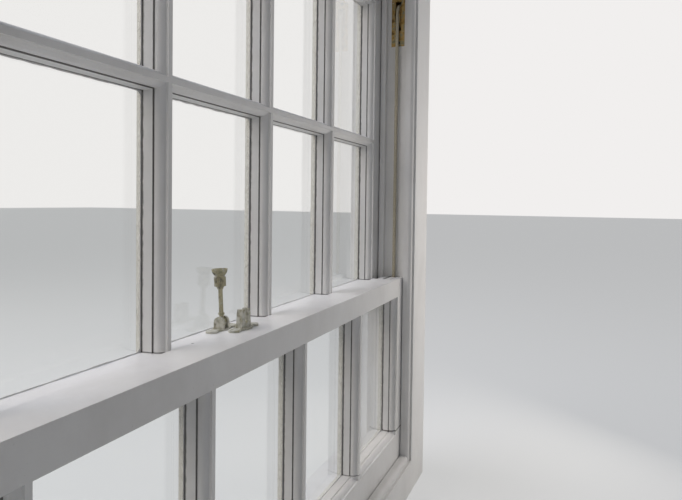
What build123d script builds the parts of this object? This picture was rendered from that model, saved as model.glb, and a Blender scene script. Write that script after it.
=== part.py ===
from build123d import *
import math
import os

os.makedirs("parts", exist_ok=True)

# Double-hung box sash window, seen from the room: +X right, +Y outward, +Z up, millimetres.
# The origin is the centre of the footprint, at the underside of the sill.

# Panes and glazing bars
columns = 5
pane_w = 194.0
pane_h_upper = 262.0
pane_h_shelf = 270.0
pane_h_lower = 264.0
bar_w = 22.0

# Sash timber
sash_t = 41.0
stile_w = 50.0
top_rail_h = 50.0
meeting_rail_h = 43.0
meeting_drop = 4.0
bottom_rail_h = 75.0
arris = 1.0

# Moulding, measured from the sight line and from the room face
mould_w = 8.0
fillet_d = 3.0
ovolo_w = 5.5
ovolo_d = 11.0
flank_w = 1.2
glass_depth = 28.0
rebate_w = 7.0

# Glass and putty
glass_t = 3.0
glass_edge_gap = 1.5
putty_set_back = 0.6
putty_shoulder = 0.6
putty_over = 0.5

# Spacing of the two sashes
sash_gap = 14.0
meeting_gap = 0.4
lower_lap = 8.8
side_run = 1.5
face_run = 1.5
head_run = 1.0

# Frame
lining_t = 20.0
inner_lining_w = 99.5
pulley_stile_t = 22.0
box_w = 57.5
back_lining_t = 8.0
head_t = 25.0
head_lining_h = 62.0
outer_lip = 12.0
tongue_w = 6.0
tongue_d = 7.0
tongue_gap = 0.2

# Beads
parting_out = 12.0
parting_in = 8.0
bead_nose = 3.0
bead_joint = 0.3
staff_t = 16.0
staff_out = 14.0
staff_round = 8.0

# Sill
sill_h = 65.0
sill_step = 6.0
sill_fall = 12.0
sill_nose = 42.5
sill_nose_h = 34.0
sill_nose_r = 3.0
drip_w = 6.0
drip_from_nose = 14.0

# Wagtail, the slip that hangs between the two weights of a box
wagtail_t = 5.0
wagtail_w = 44.0
wagtail_foot = 30.0
wagtail_pin_d = 5.0
wagtail_pin_drop = 18.0
wagtail_head_gap = 3.0
pin_clear = 0.05

# Pulleys
wheel_pitch_r = 26.0
wheel_rim = 2.5
wheel_lip = 1.0
wheel_w = 11.0
wheel_bore_r = 3.05
wheel_hub_r = 7.0
wheel_web_t = 4.0
pulley_below_head = 63.0
axle_r = 3.0
cheek_t = 2.0
wheel_side_gap = 0.6
cheek_h = 62.0
plate_t = 3.0
plate_w = 28.0
plate_up = 48.0
plate_down = 62.0
slot_gap = 1.5
case_gap = 0.4
plate_screw_r = 2.0
plate_screw_head_r = 4.0
plate_screw_head_t = 1.6
plate_screw_in = 8.0

# Cords
cord_r = 3.25
cord_seat = 0.3
groove_w = 13.0
groove_d = 10.0
lower_knot = 150.0
upper_knot = 190.0
groove_past_knot = 15.0

# Weights
weight_r = 21.0
weight_dome = 8.0
weight_foot = 2.0
lower_weight_l = 268.0
upper_weight_l = 480.0
lower_weight_drop = 55.0
upper_weight_foot = 50.0

# Pocket, the loose length of pulley stile that gives access to the weights
pocket_w = 36.0
pocket_h = 300.0
pocket_from_sill = 45.0
pocket_gap = 0.3
pocket_bevel = 9.0

# Fastener across the meeting rails
fastener_x = 10.0
fork_y = 38.0
pivot_y = 69.0
base_l = 56.0
base_w = 18.0
base_waist = 11.0
base_boss_l = 29.0
base_lobe_r = 7.5
base_t = 2.5
base_screw_from_end = 7.5
base_screw_r = 2.1
base_screw_head_r = 3.9
base_screw_head_t = 1.8
base_screw_l = 16.0
fork_h = 24.0
fork_t = 8.0
fork_foot_w = 22.0
fork_top_w = 17.0
fork_slot_w = 7.0
fork_slot_depth = 13.0
ear_r = 7.0
ear_t = 3.4
ear_side_gap = 0.25
pin_up = 9.3
hinge_pin_r = 2.0
eye_r = 5.5
eye_w = 6.0
rod_r = 2.7
rod_l = 59.0
collar_r = 3.9
collar_at = 9.0
collar_l = 2.5
arm_lean = 3.2
nut_at = 40.4
nut_l = 25.0
nut_seat_r = 3.6
nut_shoulder = 3.8
barrel_r = 7.2
barrel_l = 11.0
neck_r = 6.3
neck_l = 1.8
bell_r = 9.75
bell_wall = 1.1
bell_depth = 8.5
bell_floor_r = 4.2
flute_r = 0.7
flute_count = 20
bell_curve = 1.2

# Sizes that follow from the ones above
over = 5.0
pitch = pane_w + bar_w
sight_half = (columns * pitch - bar_w) / 2
sash_half = sight_half + stile_w
jamb = sash_half + side_run
depth = lining_t + face_run + 2 * sash_t + sash_gap + face_run + lining_t + sill_nose
room_face = -depth / 2
lower_front = room_face + lining_t + face_run
upper_front = lower_front + sash_t + sash_gap
channel_in = lower_front - face_run
channel_out = upper_front + sash_t + face_run
outer_face = channel_out + lining_t
bead_mid = lower_front + sash_t + sash_gap / 2
bead_t = sash_gap - 2 * face_run
lower_bottom = sill_h
lower_sight = lower_bottom + bottom_rail_h
lower_top = lower_sight + pane_h_lower + meeting_rail_h
meeting_bottom = lower_top - meeting_rail_h
upper_shelf = lower_top - meeting_drop
upper_bar = upper_shelf + pane_h_shelf
upper_sight = upper_bar + bar_w + pane_h_upper
upper_top = upper_sight + top_rail_h
head_z = upper_top + head_run
frame_top = head_z + head_lining_h
box_in = jamb + pulley_stile_t
box_out = box_in + box_w
lining_edge = jamb + inner_lining_w
lower_pulley_y = lower_front + sash_t / 2
upper_pulley_y = upper_front + sash_t / 2
pulley_z = head_z - pulley_below_head
cord_x = sash_half - groove_d / 2
axle_x = cord_x + wheel_pitch_r
weight_x = axle_x + wheel_pitch_r
wheel_r = wheel_pitch_r + wheel_rim
wagtail_x = (box_in + box_out) / 2
case_w = wheel_w + 2 * wheel_side_gap + 2 * cheek_t
base_screw_x = [fastener_x + s * (base_l / 2 - base_screw_from_end) for s in (-1, 1)]
column_mids = [(n - (columns - 1) / 2) * pitch for n in range(columns)]
bar_mids = [(n - (columns - 2) / 2) * pitch for n in range(columns - 1)]
SIDES = {"left": -1, "right": 1}


def block(x, y, z, mode=Mode.ADD):
    """A box between three pairs of limits, in the part that is being built."""
    with Locations(((x[0] + x[1]) / 2, (y[0] + y[1]) / 2, (z[0] + z[1]) / 2)):
        Box(abs(x[1] - x[0]), y[1] - y[0], z[1] - z[0], mode=mode)


def save(part, name):
    """Label a finished piece with its node's name and write it out."""
    part.label = name
    export_step(part, f"parts/{name}.step")


def moulded_side(place):
    """One side of a pane opening, from the room face through the ovolo to the putty rebate."""
    top = (mould_w, fillet_d)
    foot = (mould_w - ovolo_w, fillet_d + ovolo_d)
    swell = (
        mould_w - ovolo_w * math.cos(math.pi / 4),
        fillet_d + ovolo_d - ovolo_d * math.sin(math.pi / 4),
    )
    Polyline(place(mould_w, -over), place(*top))
    ThreePointArc(place(*top), place(*swell), place(*foot))
    Polyline(
        place(*foot),
        place(flank_w, fillet_d + ovolo_d),
        place(0, glass_depth),
        place(rebate_w, glass_depth),
        place(rebate_w, sash_t + over),
    )
    return place(mould_w, -over), place(rebate_w, sash_t + over)


def plain_side(place):
    """One side of a pane opening that is a flat shelf up to the glass."""
    Polyline(
        place(0, -over),
        place(0, glass_depth),
        place(rebate_w, glass_depth),
        place(rebate_w, sash_t + over),
    )
    return place(0, -over), place(rebate_w, sash_t + over)


def putty_side(place):
    """One side of the slope that the putty leaves, from the glass to the outer face."""
    start = glass_depth + glass_t
    Polyline(
        place(putty_set_back, start - putty_over),
        place(putty_set_back, start),
        place(rebate_w - putty_shoulder, sash_t),
        place(rebate_w - putty_shoulder, sash_t + over),
    )
    return place(putty_set_back, start - putty_over), place(rebate_w - putty_shoulder, sash_t + over)


def opening(mid, low, high, front, side, low_side=None):
    """The space of one pane opening; two crossed sections give its mitred corners."""
    reach = mould_w + rebate_w
    with BuildPart() as space:
        with BuildSketch(Plane.XY.offset(low - reach)):
            with BuildLine():
                ends = [
                    side(lambda t, d, s=s: (mid + s * (pane_w / 2 + t), front + d))
                    for s in (-1, 1)
                ]
                Line(ends[0][0], ends[1][0])
                Line(ends[0][1], ends[1][1])
            make_face()
        extrude(amount=high - low + 2 * reach)
        with BuildSketch(Plane.YZ.offset(mid)):
            with BuildLine():
                head = side(lambda t, d: (front + d, high + t))
                foot = (low_side or side)(lambda t, d: (front + d, low - t))
                Line(head[0], foot[0])
                Line(head[1], foot[1])
            make_face()
        extrude(amount=pitch, both=True, mode=Mode.INTERSECT)
    return space.part


def panes(rows, front, plain_shelf):
    """Openings of a whole sash; only the lowest row can stand on a plain shelf."""
    found = []
    for n, (low, high) in enumerate(rows):
        low_side = plain_side if plain_shelf and n == 0 else None
        found += [opening(mid, low, high, front, moulded_side, low_side) for mid in column_mids]
    return found


def cut(spaces):
    """Take each opening out of the piece that is being built."""
    for space in spaces:
        add(space, mode=Mode.SUBTRACT)


def near(spaces, x=None, z=None):
    """The openings that reach a stretch of the sash, so a piece is cut only by its own."""
    reach = mould_w + rebate_w
    found = []
    for space in spaces:
        box = space.bounding_box()
        if x and (box.max.X < x[0] - reach or box.min.X > x[1] + reach):
            continue
        if z and (box.max.Z < z[0] - reach or box.min.Z > z[1] + reach):
            continue
        found.append(space)
    return found


def sash_stile(name, side, front, bottom, top, spaces, knot):
    """A stile with its moulded edge and the groove for the cord in its outer edge."""
    x = sorted((side * sight_half, side * sash_half))
    y = front + sash_t / 2
    with BuildPart() as stile:
        block(x, (front, front + sash_t), (bottom, top))
        cut(near(spaces, x=x))
        groove = sorted((side * (sash_half - groove_d), side * (sash_half + over)))
        block(
            groove,
            (y - groove_w / 2, y + groove_w / 2),
            (top - knot - groove_past_knot, top + over),
            Mode.SUBTRACT,
        )
    save(stile.part, name)


def sash_rail(name, front, z, spaces, lap=(0, 0), screws_y=None):
    """A rail between the stiles; lap widens a meeting rail across the space between the sashes."""
    y = (front, front + sash_t)
    with BuildPart() as rail:
        block((-sight_half, sight_half), y, z)
        cut(near(spaces, z=z))
        if lap[0]:
            block((-sight_half, sight_half), (y[0] - lap[0], y[0]), z)
        if lap[1]:
            block((-sight_half, sight_half), (y[1], y[1] + lap[1]), z)
        if screws_y is not None:
            with BuildSketch(Plane.XY.offset(z[1])):
                with Locations(*[(x, screws_y) for x in base_screw_x]):
                    Circle(base_screw_r)
            extrude(amount=-(base_screw_l + base_screw_r - base_t), mode=Mode.SUBTRACT)
    save(rail.part, name)


def glazing(name, rows, front):
    """The panes of one sash, each bedded in its rebate."""
    grow = rebate_w - glass_edge_gap
    with BuildPart() as glass:
        for low, high in rows:
            for mid in column_mids:
                block(
                    (mid - pane_w / 2 - grow, mid + pane_w / 2 + grow),
                    (front + glass_depth, front + glass_depth + glass_t),
                    (low - grow, high + grow),
                )
    save(glass.part, name)


def putty(name, rows, front):
    """The sloping putty around each pane, on the outer side of the glass."""
    with BuildPart() as ring:
        for low, high in rows:
            for mid in column_mids:
                with BuildPart(mode=Mode.PRIVATE) as one:
                    block(
                        (mid - pane_w / 2 - rebate_w, mid + pane_w / 2 + rebate_w),
                        (front + glass_depth + glass_t, front + sash_t),
                        (low - rebate_w, high + rebate_w),
                    )
                    add(opening(mid, low, high, front, putty_side), mode=Mode.SUBTRACT)
                add(one.part)
    save(ring.part, name)


# Upper sash
upper_rows = [(upper_shelf, upper_bar), (upper_bar + bar_w, upper_sight)]
upper_spaces = panes(upper_rows, upper_front, plain_shelf=True)
for side_name, side in SIDES.items():
    sash_stile(
        f"upper_stile_{side_name}", side, upper_front, meeting_bottom, upper_top, upper_spaces,
        upper_knot,
    )
sash_rail("upper_top_rail", upper_front, (upper_sight, upper_top), upper_spaces)
sash_rail(
    "upper_meeting_rail", upper_front, (meeting_bottom, upper_shelf), upper_spaces,
    lap=(sash_gap - lower_lap - meeting_gap, 0), screws_y=lower_front + pivot_y,
)
with BuildPart() as upper_bars_upright:
    for mid in bar_mids:
        with BuildPart(mode=Mode.PRIVATE) as bar:
            x = (mid - bar_w / 2, mid + bar_w / 2)
            block(x, (upper_front, upper_front + sash_t), (upper_shelf, upper_sight))
            cut(near(upper_spaces, x=x))
        add(bar.part)
save(upper_bars_upright.part, "upper_bars_upright")
with BuildPart() as upper_bars_cross:
    for mid in column_mids:
        with BuildPart(mode=Mode.PRIVATE) as bar:
            x = (mid - pane_w / 2, mid + pane_w / 2)
            block(x, (upper_front, upper_front + sash_t), (upper_bar, upper_bar + bar_w))
            cut([s for s in upper_spaces if abs(s.bounding_box().center().X - mid) < pitch / 2])
        add(bar.part)
save(upper_bars_cross.part, "upper_bars_cross")
glazing("upper_glass", upper_rows, upper_front)
putty("upper_putty", upper_rows, upper_front)

# Lower sash
lower_rows = [(lower_sight, meeting_bottom)]
lower_spaces = panes(lower_rows, lower_front, plain_shelf=False)
for side_name, side in SIDES.items():
    sash_stile(
        f"lower_stile_{side_name}", side, lower_front, lower_bottom, lower_top, lower_spaces,
        lower_knot,
    )
sash_rail("lower_bottom_rail", lower_front, (lower_bottom, lower_sight), lower_spaces)
sash_rail(
    "lower_meeting_rail", lower_front, (meeting_bottom, lower_top), lower_spaces,
    lap=(0, lower_lap), screws_y=lower_front + fork_y,
)
with BuildPart() as lower_bars_upright:
    for mid in bar_mids:
        with BuildPart(mode=Mode.PRIVATE) as bar:
            x = (mid - bar_w / 2, mid + bar_w / 2)
            block(x, (lower_front, lower_front + sash_t), (lower_sight, meeting_bottom))
            cut(near(lower_spaces, x=x))
        add(bar.part)
save(lower_bars_upright.part, "lower_bars_upright")
glazing("lower_glass", lower_rows, lower_front)
putty("lower_putty", lower_rows, lower_front)

# Sill: a level seat for the lower sash, a step, then a weathered slope to a throated nose
with BuildPart() as sill:
    step_y = lower_front + sash_t + face_run
    nose_y = outer_face + sill_nose
    nose_low = sill_h - sill_step - sill_fall - sill_nose_h
    with BuildSketch(Plane.YZ.offset(-lining_edge)):
        with BuildLine():
            Polyline(
                (room_face, 0),
                (room_face, sill_h),
                (step_y, sill_h),
                (step_y, sill_h - sill_step),
                (nose_y, sill_h - sill_step - sill_fall),
                (nose_y, nose_low),
                (outer_face, 0),
                (room_face, 0),
            )
        make_face()
        with Locations((nose_y - drip_from_nose, nose_low * (1 - drip_from_nose / sill_nose))):
            Circle(drip_w / 2, mode=Mode.SUBTRACT)
    extrude(amount=2 * lining_edge)
    nose_edges = sill.edges().filter_by(Axis.X).sort_by(Axis.Y)[-2:]
    fillet(nose_edges, sill_nose_r)
save(sill.part, "sill")

# Frame boards, scribed to the sill where they stand on it
for side_name, side in SIDES.items():
    with BuildPart() as pulley_stile:
        x = sorted((side * jamb, side * box_in))
        block(x, (channel_in - tongue_d, channel_out + tongue_d), (0, head_z))
        for y in ((channel_in - tongue_d - over, channel_in), (channel_out, channel_out + tongue_d + over)):
            keep = sorted((side * (box_in - tongue_w), side * (jamb - over)))
            block(keep, y, (-over, head_z + over), Mode.SUBTRACT)
        groove_x = sorted((side * (jamb - over), side * (jamb + parting_in)))
        block(
            groove_x, (bead_mid - bead_t / 2, bead_mid + bead_t / 2), (-over, head_z + over),
            Mode.SUBTRACT,
        )
        through = sorted((side * (jamb - over), side * (box_in + over)))
        recess = sorted((side * (jamb - over), side * (jamb + plate_t)))
        for y in (lower_pulley_y, upper_pulley_y):
            half = case_w / 2 + case_gap
            block(
                through, (y - half, y + half),
                (pulley_z - cheek_h / 2 - case_gap, pulley_z + cheek_h / 2 + case_gap),
                Mode.SUBTRACT,
            )
            block(
                recess, (y - plate_w / 2, y + plate_w / 2),
                (pulley_z - plate_down, pulley_z + plate_up), Mode.SUBTRACT,
            )
            screws = [(y, pulley_z + plate_up - plate_screw_in), (y, pulley_z - plate_down + plate_screw_in)]
            with BuildSketch(Plane.YZ.offset(side * (jamb + plate_t))):
                with Locations(*screws):
                    Circle(plate_screw_r)
            extrude(amount=side * (pulley_stile_t - plate_t - over), mode=Mode.SUBTRACT)
        low = sill_h + pocket_from_sill
        with BuildSketch(Plane.XZ.offset(-(lower_pulley_y - pocket_w / 2))):
            with BuildLine():
                Polyline(
                    (side * (jamb - over), low),
                    (side * jamb, low),
                    (side * box_in, low + pocket_bevel),
                    (side * (box_in + over), low + pocket_bevel),
                    (side * (box_in + over), low + pocket_h - pocket_bevel),
                    (side * box_in, low + pocket_h - pocket_bevel),
                    (side * jamb, low + pocket_h),
                    (side * (jamb - over), low + pocket_h),
                    close=True,
                )
            make_face()
        extrude(amount=-pocket_w, mode=Mode.SUBTRACT)
        add(sill.part, mode=Mode.SUBTRACT)
    save(pulley_stile.part, f"pulley_stile_{side_name}")

    with BuildPart() as inner_lining:
        x = sorted((side * jamb, side * lining_edge))
        block(x, (room_face, channel_in), (0, frame_top))
        slot = sorted((side * (box_in - tongue_w - tongue_gap), side * (box_in + tongue_gap)))
        block(slot, (channel_in - tongue_d - tongue_gap, channel_in + over), (-over, head_z), Mode.SUBTRACT)
        add(sill.part, mode=Mode.SUBTRACT)
        room_edge = inner_lining.edges().filter_by(Axis.Z).group_by(Axis.Y)[0].sort_by(Axis.X)
        fillet(room_edge[0 if side > 0 else -1], arris)
    save(inner_lining.part, f"inner_lining_{side_name}")

    with BuildPart() as outer_lining:
        x = sorted((side * (jamb - outer_lip), side * lining_edge))
        block(x, (channel_out, outer_face), (0, frame_top))
        block(slot, (channel_out - over, channel_out + tongue_d + tongue_gap), (-over, head_z), Mode.SUBTRACT)
        add(sill.part, mode=Mode.SUBTRACT)
    save(outer_lining.part, f"outer_lining_{side_name}")

    with BuildPart() as back_lining:
        x = sorted((side * box_out, side * (box_out + back_lining_t)))
        block(x, (channel_in, channel_out), (0, head_z))
        add(sill.part, mode=Mode.SUBTRACT)
    save(back_lining.part, f"back_lining_{side_name}")

with BuildPart() as head:
    edge = box_out + back_lining_t
    block((-edge, edge), (channel_in, channel_out), (head_z, head_z + head_t))
    block(
        (-jamb, jamb), (bead_mid - bead_t / 2, bead_mid + bead_t / 2),
        (head_z - over, head_z + parting_in), Mode.SUBTRACT,
    )
save(head.part, "head")
with BuildPart() as inner_lining_head:
    block((-jamb, jamb), (room_face, channel_in), (head_z, frame_top))
save(inner_lining_head.part, "inner_lining_head")
with BuildPart() as outer_lining_head:
    edge = jamb - outer_lip
    block((-edge, edge), (channel_out, outer_face), (head_z - outer_lip, frame_top))
save(outer_lining_head.part, "outer_lining_head")

# Parting beads in their grooves, rounded where they show
with BuildPart() as parting_beads:
    y = (bead_mid - bead_t / 2, bead_mid + bead_t / 2)
    for side in SIDES.values():
        with BuildPart(mode=Mode.PRIVATE) as bead:
            x = sorted((side * (jamb - parting_out), side * (jamb + parting_in)))
            block(x, y, (0, head_z))
            add(sill.part, mode=Mode.SUBTRACT)
            shown = bead.edges().filter_by(Axis.Z).group_by(Axis.X)[0 if side > 0 else -1]
            fillet(shown, bead_nose)
        add(bead.part)
    with BuildPart(mode=Mode.PRIVATE) as bead:
        edge = jamb - parting_out - bead_joint
        block((-edge, edge), y, (head_z - parting_out, head_z + parting_in))
        fillet(bead.edges().filter_by(Axis.X).group_by(Axis.Z)[0], bead_nose)
    add(bead.part)
save(parting_beads.part, "parting_beads")

# Staff beads that keep the lower sash in, rounded towards the room
staff_y = (channel_in - staff_t, channel_in)
for side_name, side in SIDES.items():
    with BuildPart() as staff_bead:
        x = sorted((side * (jamb - staff_out), side * jamb))
        block(x, staff_y, (sill_h, head_z))
        corner = staff_bead.edges().filter_by(Axis.Z).group_by(Axis.Y)[0].sort_by(Axis.X)
        fillet(corner[0 if side > 0 else -1], staff_round)
    save(staff_bead.part, f"staff_bead_{side_name}")
for name, z in (("head", (head_z - staff_out, head_z)), ("sill", (sill_h, sill_h + staff_out))):
    with BuildPart() as staff_bead:
        edge = jamb - staff_out
        block((-edge, edge), staff_y, z)
        corner = staff_bead.edges().filter_by(Axis.X).group_by(Axis.Y)[0].sort_by(Axis.Z)
        fillet(corner[0 if name == "head" else -1], staff_round)
    save(staff_bead.part, f"staff_bead_{name}")

# Wagtails, each hung on a pin below the head so that it can swing aside
wagtail_z = head_z - wagtail_pin_drop
for side_name, side in SIDES.items():
    with BuildPart() as wagtail:
        block(
            (side * wagtail_x - wagtail_w / 2, side * wagtail_x + wagtail_w / 2),
            (bead_mid - wagtail_t / 2, bead_mid + wagtail_t / 2),
            (sill_h + wagtail_foot, wagtail_z),
        )
        with BuildSketch(Plane.YZ.offset(side * wagtail_x - wagtail_w / 2)):
            with Locations((bead_mid, wagtail_z)):
                Circle(wagtail_pin_d / 2 + wagtail_head_gap)
        extrude(amount=wagtail_w)
        with BuildSketch(Plane.YZ.offset(side * wagtail_x - wagtail_w / 2)):
            with Locations((bead_mid, wagtail_z)):
                Circle(wagtail_pin_d / 2 + pin_clear)
        extrude(amount=wagtail_w, mode=Mode.SUBTRACT)
    save(wagtail.part, f"wagtail_{side_name}")

# Pockets, bevelled at both ends
with BuildPart() as pockets:
    for side in SIDES.values():
        with BuildPart(mode=Mode.PRIVATE) as pocket:
            low = sill_h + pocket_from_sill + pocket_gap
            high = sill_h + pocket_from_sill + pocket_h - pocket_gap
            with BuildSketch(Plane.XZ.offset(-(lower_pulley_y - pocket_w / 2))):
                with BuildLine():
                    Polyline(
                        (side * jamb, low),
                        (side * box_in, low + pocket_bevel),
                        (side * box_in, high - pocket_bevel),
                        (side * jamb, high),
                        close=True,
                    )
                make_face()
            extrude(amount=-pocket_w)
        add(pocket.part)
save(pockets.part, "pockets")

# Pulleys: a face plate with two cheeks, a wheel on its axle, all four alike
pulley_places = [
    (f"{sash}_{side_name}", side, y)
    for side_name, side in SIDES.items()
    for sash, y in (("lower", lower_pulley_y), ("upper", upper_pulley_y))
]
with BuildPart() as pulley_cases:
    for name, side, y in pulley_places:
        with BuildPart(mode=Mode.PRIVATE) as case:
            plate_x = sorted((side * jamb, side * (jamb + plate_t)))
            block(plate_x, (y - plate_w / 2, y + plate_w / 2), (pulley_z - plate_down, pulley_z + plate_up))
            cheek_x = sorted((side * (jamb + plate_t), side * (axle_x + wheel_hub_r + axle_r)))
            block(cheek_x, (y - case_w / 2, y + case_w / 2), (pulley_z - cheek_h / 2, pulley_z + cheek_h / 2))
            clear = sorted((side * (jamb - over), side * (axle_x + wheel_r + over)))
            half = wheel_w / 2 + wheel_side_gap
            block(
                clear, (y - half, y + half),
                (pulley_z - wheel_r - slot_gap, pulley_z + wheel_r + slot_gap), Mode.SUBTRACT,
            )
            with BuildSketch(Plane.XZ.offset(-(y - case_w / 2))):
                with Locations((side * axle_x, pulley_z)):
                    Circle(axle_r)
            extrude(amount=-case_w, mode=Mode.SUBTRACT)
            screws = [(y, pulley_z + plate_up - plate_screw_in), (y, pulley_z - plate_down + plate_screw_in)]
            with BuildSketch(Plane.YZ.offset(side * jamb)):
                with Locations(*screws):
                    Circle(plate_screw_r)
            extrude(amount=side * plate_t, mode=Mode.SUBTRACT)
            with BuildSketch(Plane.YZ.offset(side * jamb)):
                with Locations(*screws):
                    Circle(plate_screw_head_r)
            extrude(amount=side * plate_screw_head_t, mode=Mode.SUBTRACT)
        add(case.part)
save(pulley_cases.part, "pulley_cases")

with BuildPart() as box_fixings:
    for side in SIDES.values():
        with BuildPart(mode=Mode.PRIVATE) as pin:
            with BuildSketch(Plane.YZ.offset(side * box_in)):
                with Locations((bead_mid, wagtail_z)):
                    Circle(wagtail_pin_d / 2)
            extrude(amount=side * box_w)
        add(pin.part)
    for name, side, y in pulley_places:
        with BuildPart(mode=Mode.PRIVATE) as axle:
            with BuildSketch(Plane.XZ.offset(-(y - case_w / 2))):
                with Locations((side * axle_x, pulley_z)):
                    Circle(axle_r)
            extrude(amount=-case_w)
        add(axle.part)
        for z in (pulley_z + plate_up - plate_screw_in, pulley_z - plate_down + plate_screw_in):
            with BuildPart(mode=Mode.PRIVATE) as screw:
                with BuildSketch(Plane.YZ.offset(side * jamb)):
                    with Locations((y, z)):
                        Circle(plate_screw_head_r)
                extrude(amount=side * plate_screw_head_t)
                with BuildSketch(Plane.YZ.offset(side * jamb)):
                    with Locations((y, z)):
                        Circle(plate_screw_r)
                extrude(amount=side * (pulley_stile_t - over))
            add(screw.part)
save(box_fixings.part, "box_fixings")

for name, side, y in pulley_places:
    seat_r = wheel_pitch_r - cord_r - cord_seat
    with BuildPart() as wheel:
        with BuildSketch(Plane(origin=(side * axle_x, y, pulley_z), x_dir=(1, 0, 0), z_dir=(0, 0, 1))):
            with BuildLine():
                Polyline(
                    (wheel_bore_r, -wheel_w / 2),
                    (wheel_hub_r, -wheel_w / 2),
                    (wheel_hub_r, -wheel_web_t / 2),
                    (seat_r - wheel_rim, -wheel_web_t / 2),
                    (seat_r - wheel_rim, -wheel_w / 2),
                    (wheel_r, -wheel_w / 2),
                    (wheel_r, wheel_lip - wheel_w / 2),
                )
                ThreePointArc(
                    (wheel_r, wheel_lip - wheel_w / 2), (seat_r, 0), (wheel_r, wheel_w / 2 - wheel_lip)
                )
                Polyline(
                    (wheel_r, wheel_w / 2 - wheel_lip),
                    (wheel_r, wheel_w / 2),
                    (seat_r - wheel_rim, wheel_w / 2),
                    (seat_r - wheel_rim, wheel_web_t / 2),
                    (wheel_hub_r, wheel_web_t / 2),
                    (wheel_hub_r, wheel_w / 2),
                    (wheel_bore_r, wheel_w / 2),
                    (wheel_bore_r, -wheel_w / 2),
                )
            make_face()
        revolve(axis=Axis((side * axle_x, y, pulley_z), (0, 1, 0)))
    save(wheel.part, f"wheel_{name}")

# Cords: a run to the sash, a turn over the wheel and a run to the weight
knots = {"lower": lower_top - lower_knot, "upper": upper_top - upper_knot}
weight_tops = {
    "lower": pulley_z - lower_weight_drop,
    "upper": sill_h + upper_weight_foot + upper_weight_l,
}
weight_lengths = {"lower": lower_weight_l, "upper": upper_weight_l}
with BuildPart() as cord_turns:
    for name, side, y in pulley_places:
        with BuildPart(mode=Mode.PRIVATE) as turn:
            with BuildSketch(Plane.XY.offset(pulley_z)):
                with Locations((side * cord_x, y)):
                    Circle(cord_r)
            revolve(axis=Axis((side * axle_x, y, pulley_z), (0, side, 0)), revolution_arc=180)
        add(turn.part)
save(cord_turns.part, "cord_turns")
for name, side, y in pulley_places:
    sash = name.split("_")[0]
    for run, x, low in (("sash", cord_x, knots[sash]), ("weight", weight_x, weight_tops[sash])):
        with BuildPart() as cord:
            with BuildSketch(Plane.XY.offset(low)):
                with Locations((side * x, y)):
                    Circle(cord_r)
            extrude(amount=pulley_z - low)
        save(cord.part, f"cord_{run}_{name}")
    with BuildPart() as weight:
        top, low = weight_tops[sash], weight_tops[sash] - weight_lengths[sash]
        with BuildSketch(Plane.XZ.offset(-y)):
            with BuildLine():
                Polyline(
                    (side * weight_x, top),
                    (side * weight_x, low),
                    (side * (weight_x + weight_r - weight_foot), low),
                    (side * (weight_x + weight_r), low + weight_foot),
                    (side * (weight_x + weight_r), top - weight_dome),
                    (side * (weight_x + weight_dome), top),
                    close=True,
                )
            make_face()
        revolve(axis=Axis((side * weight_x, y, 0), (0, 0, 1)))
    save(weight.part, f"weight_{name}")


def base_plate(y, z):
    """A fastener's base: a waisted plate with a round lobe and a screw hole at each end."""
    reach = base_l / 2 - base_lobe_r
    with BuildSketch(Plane.XY.offset(z)) as plan:
        with Locations((fastener_x, y)):
            Rectangle(2 * reach, base_waist)
            Ellipse(base_boss_l / 2, base_w / 2)
        with Locations((fastener_x - reach, y), (fastener_x + reach, y)):
            Circle(base_lobe_r)
    extrude(plan.sketch, amount=base_t)
    with Locations(*[(x, y, z + base_t) for x in base_screw_x]):
        CounterSinkHole(base_screw_r, base_screw_head_r, depth=base_t + over)


def base_screws(y, z):
    """The two countersunk screws of a base, set flush."""
    for x in base_screw_x:
        with BuildPart(mode=Mode.PRIVATE) as screw:
            with BuildSketch(Plane.XZ.offset(-y)):
                with BuildLine():
                    Polyline(
                        (x, z + base_t),
                        (x + base_screw_head_r, z + base_t),
                        (x + base_screw_r, z + base_t - base_screw_head_t),
                        (x + base_screw_r, z + base_t - base_screw_l),
                        (x, z + base_t - base_screw_l - base_screw_r),
                        close=True,
                    )
                make_face()
            revolve(axis=Axis((x, y, 0), (0, 0, 1)))
        add(screw.part)


# Fork on the lower sash
with BuildPart() as fastener_fork:
    y, z = lower_front + fork_y, lower_top
    base_plate(y, z)
    with BuildSketch(Plane.XZ.offset(-(y - fork_t / 2))):
        with BuildLine():
            Polyline(
                (fastener_x - fork_foot_w / 2, z),
                (fastener_x - fork_top_w / 2, z + fork_h),
                (fastener_x + fork_top_w / 2, z + fork_h),
                (fastener_x + fork_foot_w / 2, z),
                close=True,
            )
        make_face()
        with Locations((fastener_x, z + fork_h - fork_slot_depth)):
            Rectangle(
                fork_slot_w, fork_slot_depth + over, align=(Align.CENTER, Align.MIN), mode=Mode.SUBTRACT
            )
            Circle(fork_slot_w / 2, mode=Mode.SUBTRACT)
    extrude(amount=-fork_t)
save(fastener_fork.part, "fastener_fork")

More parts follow.
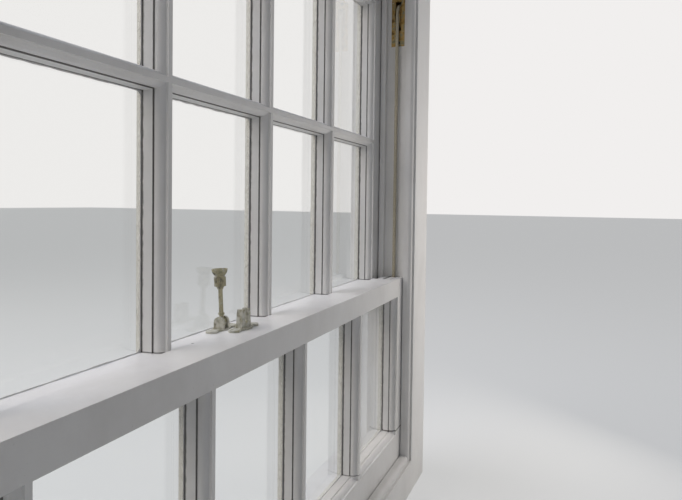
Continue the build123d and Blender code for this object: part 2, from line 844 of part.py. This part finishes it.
# Hinge base on the upper sash, with the pin in its two ears
pivot = (fastener_x, lower_front + pivot_y, upper_shelf + pin_up)
with BuildPart() as fastener_base:
    base_plate(pivot[1], upper_shelf)
    for s in (-1, 1):
        inner = fastener_x + s * (eye_w / 2 + ear_side_gap)
        with BuildSketch(Plane.YZ.offset(inner)):
            with Locations((pivot[1], pivot[2])):
                Circle(ear_r)
            with Locations((pivot[1], upper_shelf)):
                Rectangle(2 * ear_r, pin_up, align=(Align.CENTER, Align.MIN))
            with Locations((pivot[1], pivot[2])):
                Circle(hinge_pin_r, mode=Mode.SUBTRACT)
        extrude(amount=s * ear_t)
save(fastener_base.part, "fastener_base")
with BuildPart() as upper_fastener_fixings:
    half = eye_w / 2 + ear_side_gap + ear_t
    with BuildSketch(Plane.YZ.offset(fastener_x - half)):
        with Locations((pivot[1], pivot[2])):
            Circle(hinge_pin_r)
    extrude(amount=2 * half)
    base_screws(pivot[1], upper_shelf)
save(upper_fastener_fixings.part, "upper_fastener_fixings")
with BuildPart() as lower_fastener_screws:
    base_screws(lower_front + fork_y, lower_top)
save(lower_fastener_screws.part, "lower_fastener_screws")

# Arm and nut, standing up and leaning back towards the glass, clear of the lower sash
lean = math.radians(arm_lean)
along = (0, math.sin(lean), math.cos(lean))
arm_axis = Axis(pivot, along)
arm_plane = Plane(origin=pivot, x_dir=(1, 0, 0), z_dir=(0, -math.cos(lean), math.sin(lean)))
with BuildPart() as fastener_arm:
    with BuildSketch(arm_plane):
        with BuildLine():
            Polyline(
                (0, 0),
                (rod_r, 0),
                (rod_r, collar_at),
                (collar_r, collar_at),
                (collar_r, collar_at + collar_l),
                (rod_r, collar_at + collar_l),
                (rod_r, rod_l - arris),
                (rod_r - arris, rod_l),
                (0, rod_l),
                close=True,
            )
        make_face()
    revolve(axis=arm_axis)
    with BuildSketch(Plane.YZ.offset(fastener_x - eye_w / 2)):
        with Locations((pivot[1], pivot[2])):
            Circle(eye_r)
    extrude(amount=eye_w)
    with BuildSketch(Plane.YZ.offset(fastener_x - eye_w / 2)):
        with Locations((pivot[1], pivot[2])):
            Circle(hinge_pin_r + pin_clear)
    extrude(amount=eye_w, mode=Mode.SUBTRACT)
save(fastener_arm.part, "fastener_arm")
with BuildPart() as fastener_nut:
    start, end = nut_at, nut_at + nut_l
    barrel_end = start + nut_shoulder + barrel_l
    bore = rod_r + pin_clear
    with BuildSketch(arm_plane):
        with BuildLine():
            Polyline((bore, start), (nut_seat_r, start))
            RadiusArc((nut_seat_r, start), (barrel_r, start + nut_shoulder), nut_shoulder)
            Polyline(
                (barrel_r, start + nut_shoulder),
                (barrel_r, barrel_end),
                (neck_r, barrel_end + neck_l / 2),
                (neck_r, barrel_end + neck_l),
            )
            RadiusArc((neck_r, barrel_end + neck_l), (bell_r, end), -(end - barrel_end) * bell_curve)
            Polyline((bell_r, end), (bell_r - bell_wall, end))
            RadiusArc(
                (bell_r - bell_wall, end), (bell_floor_r, end - bell_depth), (end - barrel_end) * bell_curve
            )
            Polyline((bell_floor_r, end - bell_depth), (bore, end - bell_depth), (bore, start))
        make_face()
    revolve(axis=arm_axis)
    middle = Plane(
        origin=[pivot[i] + along[i] * (start + nut_shoulder) for i in range(3)],
        x_dir=(1, 0, 0),
        z_dir=along,
    )
    with BuildSketch(middle):
        with PolarLocations(barrel_r, flute_count):
            Circle(flute_r)
    extrude(amount=barrel_l, mode=Mode.SUBTRACT)
save(fastener_nut.part, "fastener_nut")
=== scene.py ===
"""The look of an old painted box sash window: its paint, glass, putty, cords and brass fastener."""
import math

import bpy
import numpy as np
from mathutils import Matrix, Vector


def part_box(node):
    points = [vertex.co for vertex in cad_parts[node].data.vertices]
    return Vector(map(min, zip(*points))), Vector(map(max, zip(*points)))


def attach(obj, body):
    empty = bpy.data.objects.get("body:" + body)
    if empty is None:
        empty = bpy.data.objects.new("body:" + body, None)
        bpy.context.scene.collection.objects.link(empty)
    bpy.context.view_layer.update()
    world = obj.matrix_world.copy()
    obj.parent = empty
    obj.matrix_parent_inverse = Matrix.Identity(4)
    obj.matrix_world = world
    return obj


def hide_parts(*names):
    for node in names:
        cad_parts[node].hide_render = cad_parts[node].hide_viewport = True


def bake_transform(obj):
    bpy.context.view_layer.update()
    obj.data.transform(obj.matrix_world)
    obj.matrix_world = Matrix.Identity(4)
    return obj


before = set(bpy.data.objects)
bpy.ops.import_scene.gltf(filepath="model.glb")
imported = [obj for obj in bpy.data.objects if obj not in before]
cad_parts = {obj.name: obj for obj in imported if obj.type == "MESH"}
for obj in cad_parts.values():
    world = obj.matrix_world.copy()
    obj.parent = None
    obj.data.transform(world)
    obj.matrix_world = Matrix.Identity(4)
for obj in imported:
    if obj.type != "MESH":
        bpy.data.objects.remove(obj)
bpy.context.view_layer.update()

MM = 0.001
rng = np.random.default_rng(7)


# Sizes of the panes, in metres, read from the CAD where the boxes of its nodes give them.

def low(node):
    """The lowest x, y and z of a CAD node."""
    return np.array(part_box(node)[0])


def high(node):
    """The highest x, y and z of a CAD node."""
    return np.array(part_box(node)[1])


pane_w = 194 * MM
pane_pitch = 216 * MM
pane_mids = [pane_pitch * k for k in (-2, -1, 0, 1, 2)]
glass_tuck = 5.5 * MM       # how far a pane runs on behind the timber round it
quirk_depth = 14 * MM       # from the glass to the quirk beside the ovolo, on the inner side
lower_glass_y = low("lower_glass")[1]
upper_glass_y = low("upper_glass")[1]
lower_row = (low("lower_glass")[2] + glass_tuck, high("lower_glass")[2] - glass_tuck)
cross_bars = (low("upper_bars_cross")[2], high("upper_bars_cross")[2])
upper_rows = [
    (low("upper_glass")[2] + glass_tuck, cross_bars[0]),
    (cross_bars[1], high("upper_glass")[2] - glass_tuck),
]


# Nodes, shared by all the materials.

def linear(code):
    """An sRGB hex colour as the linear RGBA that a shader takes."""
    c = np.array([int(code[i:i + 2], 16) for i in (1, 3, 5)]) / 255
    c = np.where(c <= 0.04045, c / 12.92, ((c + 0.055) / 1.055) ** 2.4)
    return (*(float(v) for v in c), 1.0)


def add(owner, kind, inputs=None, **settings):
    """Adds one node to a material or world. The settings are the node's own properties, and the
    inputs its sockets, each with a value or with an output to link."""
    node = owner.node_tree.nodes.new("ShaderNode" + kind)
    for name, value in settings.items():
        setattr(node, name, value)
    for socket, value in (inputs or {}).items():
        if isinstance(value, bpy.types.NodeSocket):
            owner.node_tree.links.new(value, node.inputs[socket])
        else:
            node.inputs[socket].default_value = value
    return node


def new_material(name):
    """A material with an empty node tree."""
    mat = bpy.data.materials.new(name)
    mat.use_nodes = True
    mat.node_tree.nodes.clear()
    return mat


def surfaced(mat, shader):
    """The material, with this shader on its surface."""
    add(mat, "OutputMaterial", {"Surface": shader.outputs[0]})
    return mat


def cells(mat, size):
    """Object coordinates counted in cells of this size in mm: one number, or one each along x, y
    and z."""
    return add(mat, "Mapping", {
        "Vector": add(mat, "TexCoord").outputs["Object"],
        "Scale": [float(1 / (s * MM)) for s in np.broadcast_to(size, 3)],
    }).outputs[0]


def noise(mat, size, detail, roughness):
    """Cloudy noise about 0.5, in cells of this size."""
    return add(mat, "TexNoise", {
        "Vector": cells(mat, size), "Scale": 1.0, "Detail": detail, "Roughness": roughness,
    }).outputs["Fac"]


def remap(mat, value, source, target):
    """A value carried from the range source to the range target, and kept inside it."""
    return add(mat, "MapRange", {
        "Value": value, "From Min": source[0], "From Max": source[1],
        "To Min": target[0], "To Max": target[1],
    }).outputs[0]


def ramp(mat, factor, stops):
    """A colour ramp over (position, hex colour) stops."""
    node = add(mat, "ValToRGB", {"Fac": factor})
    bar = node.color_ramp
    while len(bar.elements) < len(stops):
        bar.elements.new(1.0)
    for element, (place, code) in zip(bar.elements, stops):
        element.position = place
        element.color = linear(code)
    return node.outputs[0]


def mixed(mat, factor, colour, code):
    """A colour with another laid over it where the factor is 1."""
    return add(mat, "MixRGB", {
        "Fac": factor, "Color1": colour, "Color2": linear(code),
    }, blend_type="MIX").outputs[0]


def bumped(mat, height, relief, under=None):
    """The normal of a small relief, its height given in metres, laid over another relief's normal
    if named."""
    inputs = {"Height": height, "Strength": 1.0, "Distance": relief}
    if under is not None:
        inputs["Normal"] = under
    return add(mat, "Bump", inputs).outputs[0]


# Finishes.

def brushed_gloss_paint(name, along, dirt_and_shade_lines=(), marks=()):
    """Old oil gloss on softwood: many coats laid off with a brush along each member, so that the
    light runs in fine streaks, with lumps under the coats and a soft sheen. A dark grey, which is
    painted shade with some dirt in it, lies along the listed lines, each an axis, a level on it,
    how far it reaches in mm and how strong it is. Marks are the places of small dark dents, in metres."""
    stroke_w, stroke_length = 1.3, 90.0
    dirt_and_shade_colour = "#35322e"
    dent_floor, dent_rim, dent_share = 1.0 * MM, 2.2 * MM, 0.85
    mat = new_material(name)
    stroke = [stroke_length if axis == along else stroke_w for axis in "xyz"]
    streaks = noise(mat, stroke, detail=3.0, roughness=0.6)
    lumps = noise(mat, 9, detail=2.0, roughness=0.5)
    patches = noise(mat, (70, 70, 120), detail=4.0, roughness=0.6)
    specks = noise(mat, 2.2, detail=2.0, roughness=0.5)
    colour = ramp(mat, patches, [(0.25, "#d9d8d6"), (0.5, "#e3e2e1"), (0.75, "#e9e9e8")])
    colour = mixed(mat, remap(mat, specks, (0.74, 0.82), (0.0, 0.45)), colour, "#8b867c")
    place = add(mat, "TexCoord").outputs["Object"]
    levels = add(mat, "SeparateXYZ", {"Vector": place})
    for axis, level, reach, share in dirt_and_shade_lines:
        # Painted shade with some dirt: full up to the first distance, then a fade to an end that wanders
        # between the other two
        full, nearest, farthest = (part * reach * MM for part in (0.55, 0.8, 1.25))
        end = remap(mat, lumps, (0.3, 0.7), (nearest, farthest))
        offset = add(mat, "Math", {0: levels.outputs[axis], 1: level}, operation="SUBTRACT")
        gap = add(mat, "Math", {0: offset.outputs[0]}, operation="ABSOLUTE")
        colour = mixed(mat, remap(mat, gap.outputs[0], (full, end), (share, 0.0)), colour, dirt_and_shade_colour)
    for spot in marks:
        away = add(mat, "VectorMath", {0: place, 1: spot}, operation="DISTANCE")
        dent = remap(mat, away.outputs["Value"], (dent_floor, dent_rim), (dent_share, 0.0))
        colour = mixed(mat, dent, colour, dirt_and_shade_colour)
    lumpy = bumped(mat, lumps, relief=0.22 * MM)
    return surfaced(mat, add(mat, "BsdfPrincipled", {
        "Base Color": colour,
        "Roughness": remap(mat, patches, (0.3, 0.7), (0.30, 0.42)),
        "IOR": 1.5,
        "Normal": bumped(mat, streaks, relief=0.07 * MM, under=lumpy),
    }))


def sash_dirt_and_shade(glass_y, shelf):
    """Painted shade, with some dirt in it, lies where the timber meets the glass, in the quirk beside
    the ovolo and at the foot of each bar."""
    return [("Y", glass_y, 3.0, 0.95), ("Y", glass_y - quirk_depth, 0.9, 0.8), ("Z", shelf, 1.6, 0.8)]


def sawn_redwood(name):
    """Bare Baltic redwood inside the boxes: darker summer grain along its length and a dry, dusty
    surface."""
    mat = new_material(name)
    grain = noise(mat, (3.0, 3.0, 160), detail=4.0, roughness=0.65)
    return surfaced(mat, add(mat, "BsdfPrincipled", {
        "Base Color": ramp(mat, grain, [(0.3, "#85705a"), (0.5, "#9b8468"), (0.7, "#ac9679")]),
        "Roughness": 0.8,
        "Normal": bumped(mat, grain, relief=0.2 * MM),
    }))


def drawn_glass(name):
    """Old drawn sheet glass: clear, faintly green, with slow waves that bend what is seen through
    it."""
    mat = new_material(name)
    waves = noise(mat, (130, 130, 60), detail=1.0, roughness=0.4)
    glass = add(mat, "BsdfPrincipled", {
        "Base Color": linear("#fafbfa"), "Roughness": 0.0, "IOR": 1.52, "Transmission Weight": 1.0,
        "Normal": bumped(mat, waves, relief=0.15 * MM),
    })
    clear = add(mat, "BsdfTransparent", {"Color": linear("#f5f4f4")})
    from_lamps = add(mat, "LightPath").outputs["Is Shadow Ray"]
    return surfaced(mat, add(mat, "MixShader", {0: from_lamps, 1: glass.outputs[0], 2: clear.outputs[0]}))


def painted_putty(name):
    """Linseed oil putty under old paint: off-white, chalky and uneven, with fine cracks."""
    mat = new_material(name)
    lumps = noise(mat, 6, detail=3.0, roughness=0.6)
    cracks = add(mat, "TexVoronoi", {
        "Vector": cells(mat, 14), "Scale": 1.0,
    }, feature="DISTANCE_TO_EDGE")
    cracked = remap(mat, cracks.outputs["Distance"], (0.0, 0.03), (0.5, 0.0))
    colour = ramp(mat, lumps, [(0.3, "#c9c6bd"), (0.7, "#dddbd4")])
    return surfaced(mat, add(mat, "BsdfPrincipled", {
        "Base Color": mixed(mat, cracked, colour, "#8d887d"),
        "Roughness": 0.6,
        "Normal": bumped(mat, lumps, relief=0.3 * MM),
    }))


def aged_brass(name, light, dark, paint_share):
    """Cast brass handled for a century: brown and green tarnish in patches, a dull gold between
    them, and thin smears of the window's paint, more of them with a higher share."""
    mat = new_material(name)
    tarnish = noise(mat, 8, detail=3.0, roughness=0.55)
    smear = noise(mat, 7, detail=2.0, roughness=0.5)
    edge = 0.72 - 0.3 * paint_share
    thickest = 0.9
    painted = remap(mat, smear, (edge - 0.06, edge + 0.16), (0.0, thickest))
    colour = ramp(mat, tarnish, [(0.32, dark), (0.5, light), (0.62, "#8d8b72"), (0.75, dark)])
    return surfaced(mat, add(mat, "BsdfPrincipled", {
        "Base Color": mixed(mat, painted, colour, "#c4c3ba"),
        "Roughness": remap(mat, tarnish, (0.3, 0.7), (0.52, 0.34)),
        "Metallic": remap(mat, painted, (0.0, thickest), (0.85, 0.0)),
        "Normal": bumped(mat, tarnish, relief=0.12 * MM),
    }))


def sand_cast_iron(name):
    """Sand-cast iron: nearly black, dull, pitted by the mould's sand, with a bloom of rust."""
    mat = new_material(name)
    grit = noise(mat, 1.6, detail=4.0, roughness=0.7)
    rust = noise(mat, 25, detail=5.0, roughness=0.6)
    return surfaced(mat, add(mat, "BsdfPrincipled", {
        "Base Color": ramp(mat, rust, [(0.4, "#3a3836"), (0.58, "#4c3f37"), (0.72, "#6b4630")]),
        "Roughness": 0.72,
        "Metallic": 0.6,
        "Normal": bumped(mat, grit, relief=0.35 * MM),
    }))


def waxed_cotton(name):
    """Waxed cotton sash cord: a cream eight-strand braid, grey with handling."""
    mat = new_material(name)
    fluff = noise(mat, (1.0, 1.0, 3.0), detail=3.0, roughness=0.6)
    return surfaced(mat, add(mat, "BsdfPrincipled", {
        "Base Color": ramp(mat, fluff, [(0.3, "#a59c86"), (0.7, "#cfc7b2")]),
        "Roughness": 0.85,
        "Normal": bumped(mat, fluff, relief=0.15 * MM),
    }))


rail_marks = [(-78 * MM, -21.25 * MM, 447 * MM), (431 * MM, -14.25 * MM, 443 * MM)]
# The sashes' uprights and cross bars get painted shade, with some dirt, along the glass, in the quirk and
# at the bars' feet.
lower_dirt_and_shade = sash_dirt_and_shade(lower_glass_y, lower_row[0])
upper_dirt_and_shade = sash_dirt_and_shade(upper_glass_y, upper_rows[0][0])
paint_up = brushed_gloss_paint("brushed_gloss_paint_upright", "z")
paint_level = brushed_gloss_paint("brushed_gloss_paint_level", "x")
paint_lower_up = brushed_gloss_paint("brushed_gloss_paint_lower_upright", "z", lower_dirt_and_shade)
paint_rail = brushed_gloss_paint("brushed_gloss_paint_rail", "x", marks=rail_marks)
paint_upper_up = brushed_gloss_paint("brushed_gloss_paint_upper_upright", "z", upper_dirt_and_shade)
paint_cross = brushed_gloss_paint("brushed_gloss_paint_cross", "x", upper_dirt_and_shade[:2])
paint_on_glass = brushed_gloss_paint("brushed_gloss_paint_laps", "z")
redwood = sawn_redwood("sawn_redwood")
glass = drawn_glass("drawn_sheet_glass")
putty = painted_putty("painted_linseed_putty")
brass = aged_brass("aged_cast_brass", "#a59f86", "#6a675b", paint_share=0.5)
painted_brass = aged_brass("aged_brass_with_paint_smears", "#a8a594", "#7b7a70", paint_share=1.0)
pulley_brass = aged_brass("worn_pulley_brass", "#b0925a", "#6b5836", paint_share=0.05)
iron = sand_cast_iron("sand_cast_iron")
cotton = waxed_cotton("waxed_cotton_cord")


def finish_of(name):
    """The finish of a CAD node, told by its name."""
    if name.endswith("_glass"):
        return glass
    if name.endswith("_putty"):
        return putty
    if name.startswith(("fastener_fork", "fastener_base", "upper_fastener", "lower_fastener")):
        return painted_brass
    if name.startswith("fastener"):
        return brass
    if name.startswith(("wheel", "pulley_cases")):
        return pulley_brass
    if name.startswith(("weight", "box_fixings")):
        return iron
    if name.startswith("cord"):
        return cotton
    if name.startswith(("back_lining", "wagtail")):
        return redwood
    if name.startswith(("upper", "lower")):
        if "rail" in name:
            return paint_rail
        if "cross" in name:
            return paint_cross
        return paint_upper_up if name.startswith("upper") else paint_lower_up
    level = name.startswith(("sill", "head")) or name.endswith(("_head", "_sill"))
    return paint_level if level else paint_up


for name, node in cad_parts.items():
    for slot in node.material_slots:
        slot.material = finish_of(name)


# Meshes.

def mesh_piece(name, points, faces, material, smooth=True):
    """An object at the origin with this mesh and finish."""
    mesh = bpy.data.meshes.new(name)
    mesh.from_pydata(points, [], faces)
    mesh.polygons.foreach_set("use_smooth", np.full(len(mesh.polygons), smooth))
    mesh.materials.append(material)
    piece = bpy.data.objects.new(name, mesh)
    bpy.context.scene.collection.objects.link(piece)
    return piece


def loop_faces(rows, columns, closed_rows=True, start=0):
    """Quads that face outwards over a grid of rows x columns points from number start on. Each row
    runs round to its first point again, and the last row joins the first where the rows are
    closed."""
    i = np.arange(rows if closed_rows else rows - 1)
    i, j = np.meshgrid(i, np.arange(columns), indexing="ij")
    i2, j2 = (i + 1) % rows, (j + 1) % columns
    quads = np.stack([i * columns + j, i2 * columns + j, i2 * columns + j2, i * columns + j2], axis=-1)
    return quads.reshape(-1, 4) + start


def waver(count, harmonics, size):
    """A smooth closed random line of count heights: the sum of cosines of the harmonics below this
    number, each with a random phase and a random weight, that together come to about this size."""
    u = np.linspace(0, 2 * math.pi, count, endpoint=False)
    order = np.arange(1, harmonics)
    phase = rng.uniform(0, 2 * math.pi, len(order))
    weight = rng.normal(0, 1, len(order)) / math.sqrt(len(order))
    return size * (weight * np.cos(np.outer(u, order) + phase)).sum(1)


# The laps of paint on the glass. Each waver is its number of harmonics and its size.
lap_corner = 8 * MM
corner_points = 13
straight_step = 1.6 * MM
lap_w, lap_least = 0.8 * MM, 0.3 * MM
slow_waver, fine_waver = (30, 0.45 * MM), (200, 0.12 * MM)
crest_height, crest_waver = 0.6 * MM, (90, 0.08 * MM)
coat_least = 0.12 * MM
timber_tuck = 0.35 * MM
# The lap's section: how far from the timber to the inner edge, and how high as a share of the crest.
# The feet at both ends are given in mm instead, and lie that deep in the glass.
lap_section = ((0.0, -0.05), (0.0, 1.0), (0.35, 0.42), (0.7, 0.16), (0.95, 0.09), (1.0, -0.02))


def paint_lap(mid, bottom, top, glass_y):
    """The ring of paint that laps from the timber onto one pane. Its outer edge is the pane's
    square outline, tucked a little into the timber. Its inner edge is a rounded outline that
    wavers: at each place round the ring it lies at the corner's radius less the lap's width from
    the corner's centre, or along a side from the line between two centres. From one edge to the
    other the section rises to a crest at the timber and falls in a hollow curve to a thin edge on
    the glass."""
    half_w, half_h = pane_w / 2, (top - bottom) / 2
    corners = [np.array([sx * (half_w - lap_corner), sz * (half_h - lap_corner)])
               for sx, sz in ((1, 1), (-1, 1), (-1, -1), (1, -1))]
    quarter = np.linspace(0, math.pi / 2, corner_points)
    outer, rays, centres = [], [], []
    for k, corner in enumerate(corners):
        angle = quarter + k * math.pi / 2
        ray = np.stack([np.cos(angle), np.sin(angle)], 1)
        square = ray / np.abs(ray).max(1)[:, None]
        outer.append(corner + lap_corner * square)
        rays.append(ray)
        centres.append(np.repeat(corner[None], corner_points, 0))
        length = (2 * half_h if k % 2 else 2 * half_w) - 2 * lap_corner
        t = np.linspace(0, 1, int(length / straight_step))[1:-1, None]
        side = corner + (corners[(k + 1) % 4] - corner) * t
        side_rays = np.repeat(ray[-1][None], len(side), 0)
        outer.append(side + lap_corner * side_rays)
        rays.append(side_rays)
        centres.append(side)
    outer, rays, centres = (np.concatenate(v) for v in (outer, rays, centres))
    count = len(outer)
    width = lap_w + np.abs(waver(count, *slow_waver)) + waver(count, *fine_waver)
    radius = lap_corner - np.maximum(width, lap_least)
    inner = centres + rays * radius[:, None]
    outwards = (outer - centres) / np.linalg.norm(outer - centres, axis=1)[:, None]
    tucked = outer + outwards * timber_tuck
    crest = crest_height + waver(count, *crest_waver)
    rows = []
    for share, height in lap_section:
        flat = tucked + (inner - tucked) * share
        rise = np.maximum(crest * height, coat_least) if height > 0 else np.full(count, height * MM)
        rows.append(np.stack([flat[:, 0] + mid, glass_y - rise, flat[:, 1] + (top + bottom) / 2], 1))
    return np.stack(rows, 1)


def paint_laps(name, rows, glass_y, body):
    """The laps on all of one sash's panes, as one piece that rides on it."""
    points, faces, start = [], [], 0
    for bottom, top in rows:
        for mid in pane_mids:
            grid = paint_lap(mid, bottom, top, glass_y)
            count, across = grid.shape[:2]
            points.append(grid.reshape(-1, 3))
            faces.append(loop_faces(count, across, start=start))
            start += count * across
    piece = mesh_piece(name, np.concatenate(points), np.concatenate(faces).tolist(), paint_on_glass)
    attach(piece, body)


paint_laps("lower_paint_laps", [lower_row], lower_glass_y, "lower_sash")
paint_laps("upper_paint_laps", upper_rows, upper_glass_y, "upper_sash")


# The sash cords. The wheel's radius is to the middle of the cord.
cord_r = 3.25 * MM
braid_groove = 0.14         # the deepest place between the strands, as a share of the cord's radius
braid_pitch = 9 * MM
braid_step = 1.3 * MM
around = 16
wheel_r = 26 * MM
pulley_z = 985 * MM
sash_cord_x = 574 * MM
weight_cord_x = sash_cord_x + 2 * wheel_r
wheel_x = sash_cord_x + wheel_r
turn_points = 60


def braid(path):
    """A plaited cord along a path in a plane y = constant, as points and faces. Two families of
    strands wind both ways round it. The height of a family is the size of the cosine of twice the
    angle plus or minus the turn along the length. The radius is the cord's where the higher family
    stands at 1, and less by the groove where both are at 0. Both ends are closed with a flat
    face."""
    path = np.array(path)
    step = np.linalg.norm(np.diff(path, axis=0), axis=1)
    s = np.concatenate([[0], np.cumsum(step)])
    n = max(int(s[-1] / braid_step), 3)
    at = np.linspace(0, s[-1], n)
    line = np.stack([np.interp(at, s, path[:, k]) for k in range(3)], 1)
    ahead = np.gradient(line, axis=0)
    ahead /= np.linalg.norm(ahead, axis=1)[:, None]
    across = np.array([0.0, 1.0, 0.0])
    out = np.cross(ahead, across)
    angle = np.linspace(0, 2 * math.pi, around, endpoint=False)
    turn = math.pi * at[:, None] / braid_pitch
    height = np.maximum(np.abs(np.cos(2 * angle + turn)), np.abs(np.cos(2 * angle - turn)))
    radius = cord_r * (1 - braid_groove + braid_groove * height)
    ring = out[:, None] * np.cos(angle)[None, :, None] + across * np.sin(angle)[None, :, None]
    points = line[:, None] + ring * radius[..., None]
    faces = loop_faces(n, around, closed_rows=False).tolist()
    first = list(range(around))
    last = [(n - 1) * around + k for k in reversed(first)]
    return points.reshape(-1, 3), faces + [first, last]


def cord_run(kind, place, x, y, end_z):
    """A straight run of cord from the wheel down to end_z."""
    points, faces = braid([(x, y, end_z), (x, y, pulley_z)])
    run = mesh_piece(f"braided_{kind}_run_{place}", points, faces, cotton)
    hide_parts(f"cord_{kind}_{place}")
    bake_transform(run)


def sash_cords():
    """The four cords: each a run to the sash, a run to the weight and a half turn over the
    wheel."""
    sweep = np.linspace(math.pi, 0, turn_points)
    all_points, all_faces, start = [], [], 0
    for sash in ("lower", "upper"):
        for hand, side in (("left", -1), ("right", 1)):
            place = f"{sash}_{hand}"
            knot, top = low(f"cord_sash_{place}"), high(f"cord_sash_{place}")
            y = (knot[1] + top[1]) / 2
            weight_top = low(f"cord_weight_{place}")[2]
            cord_run("sash", place, side * sash_cord_x, y, knot[2])
            cord_run("weight", place, side * weight_cord_x, y, weight_top)
            points, faces = braid(np.stack([
                side * (wheel_x + wheel_r * np.cos(sweep)),
                np.full(turn_points, y),
                pulley_z + wheel_r * np.sin(sweep),
            ], 1))
            all_points.append(points)
            all_faces += [[k + start for k in face] for face in faces]
            start += len(points)
    turns = mesh_piece("braided_cord_turns", np.concatenate(all_points), all_faces, cotton)
    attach(turns, "frame")
    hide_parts("cord_turns")


sash_cords()


# Floor, light and camera.

def seen_directly(owner):
    """1 for rays that show the background itself: from the camera, through glass or off a gloss."""
    path = add(owner, "LightPath")
    seen = add(owner, "Math", {
        0: path.outputs["Is Camera Ray"], 1: path.outputs["Is Transmission Ray"],
    }, operation="MAXIMUM")
    return add(owner, "Math", {
        0: seen.outputs[0], 1: path.outputs["Is Glossy Ray"],
    }, operation="MAXIMUM").outputs[0]


def studio_floor():
    """Matt pale floor that the window stands on. What is seen of it is in part its own plain colour
    and in part the lit surface, so that it keeps the window's shadow."""
    half, plain_share = 30.0, 0.55
    mat = new_material("pale_studio_floor")
    lit = add(mat, "BsdfPrincipled", {"Base Color": linear("#e0e0de"), "Roughness": 0.9})
    pale = add(mat, "Emission", {"Color": linear("#e2e3e4"), "Strength": 1.0})
    share = add(mat, "Math", {0: seen_directly(mat), 1: plain_share}, operation="MULTIPLY")
    surfaced(mat, add(mat, "MixShader", {0: share.outputs[0], 1: lit.outputs[0], 2: pale.outputs[0]}))
    floor = mesh_piece("floor", [(-half, -half, 0), (half, -half, 0), (half, half, 0), (-half, half, 0)],
                       [(0, 1, 2, 3)], mat, smooth=False)


def studio_world():
    """Even soft light all round, with a paler field where the background itself is seen."""
    world = bpy.data.worlds.new("studio")
    world.use_nodes = True
    world.node_tree.nodes.clear()
    bpy.context.scene.world = world
    soft = add(world, "Background", {"Color": linear("#e9edf4"), "Strength": 0.18})
    pale = add(world, "Background", {"Color": linear("#f1efee"), "Strength": 1.0})
    mix = add(world, "MixShader", {0: seen_directly(world), 1: soft.outputs[0], 2: pale.outputs[0]})
    add(world, "OutputWorld", {"Surface": mix.outputs[0]})


def stand(thing, right, up, back, place):
    """Stands a lamp or camera at a place, with these directions for its own x, y and z."""
    rows = [[right[i], up[i], back[i], place[i]] for i in range(3)]
    thing.matrix_world = Matrix(rows + [[0, 0, 0, 1]])


def soft_lamp(name, place, target, size, watts, code, mirrored=True):
    """A square soft box at place that faces target. It is never seen through glass, and is mirrored
    in gloss only where asked."""
    data = bpy.data.lights.new(name, "AREA")
    data.shape = "SQUARE"
    data.size = size
    data.energy = watts
    data.color = linear(code)[:3]
    lamp = bpy.data.objects.new(name, data)
    lamp.visible_glossy = mirrored
    lamp.visible_transmission = False
    bpy.context.scene.collection.objects.link(lamp)
    place, target = np.array(place, float), np.array(target, float)
    back = (place - target) / np.linalg.norm(place - target)
    side = np.cross([0, 0, 1], back)
    side /= np.linalg.norm(side)
    stand(lamp, side, np.cross(back, side), back, place)


def set_camera():
    """The photograph's viewing angle: close to the left half on the inner side, looking right and a
    little outward."""
    yaw, pitch, roll = math.radians(21.94), math.radians(-1.53), math.radians(0.71)
    place = (-0.6101, -0.4063, 0.6019)
    width_px, focal_px, centre_up_px = 682, 594.89, -32.62
    ahead = np.array([math.cos(yaw), math.sin(yaw), 0])
    right = np.array([math.sin(yaw), -math.cos(yaw), 0])
    up = np.array([0.0, 0.0, 1.0])
    ahead, up = (ahead * math.cos(pitch) + up * math.sin(pitch),
                 -ahead * math.sin(pitch) + up * math.cos(pitch))
    right, up = (right * math.cos(roll) + up * math.sin(roll),
                 -right * math.sin(roll) + up * math.cos(roll))
    data = bpy.data.cameras.new("camera")
    data.sensor_width = 36.0
    data.lens = focal_px / width_px * data.sensor_width
    data.shift_y = centre_up_px / width_px
    data.clip_start = 0.01
    camera = bpy.data.objects.new("camera", data)
    bpy.context.scene.collection.objects.link(camera)
    stand(camera, right, up, -ahead, place)
    bpy.context.scene.camera = camera


studio_floor()
studio_world()
soft_lamp("daylight", (-1.0, 2.1, 2.7), (0.0, 0.0, 0.6), size=3.2, watts=74, code="#fff7ec")
soft_lamp("sky_above", (-0.2, 1.0, 3.0), (0.0, 0.0, 0.5), size=1.6, watts=25, code="#c0d7ff")
soft_lamp("inner_fill", (1.05, -0.55, 0.5), (0.45, 0.0, 0.45), size=0.4, watts=3.0, code="#fff8f0",
          mirrored=False)
set_camera()
bpy.context.scene.view_settings.view_transform = "Standard"
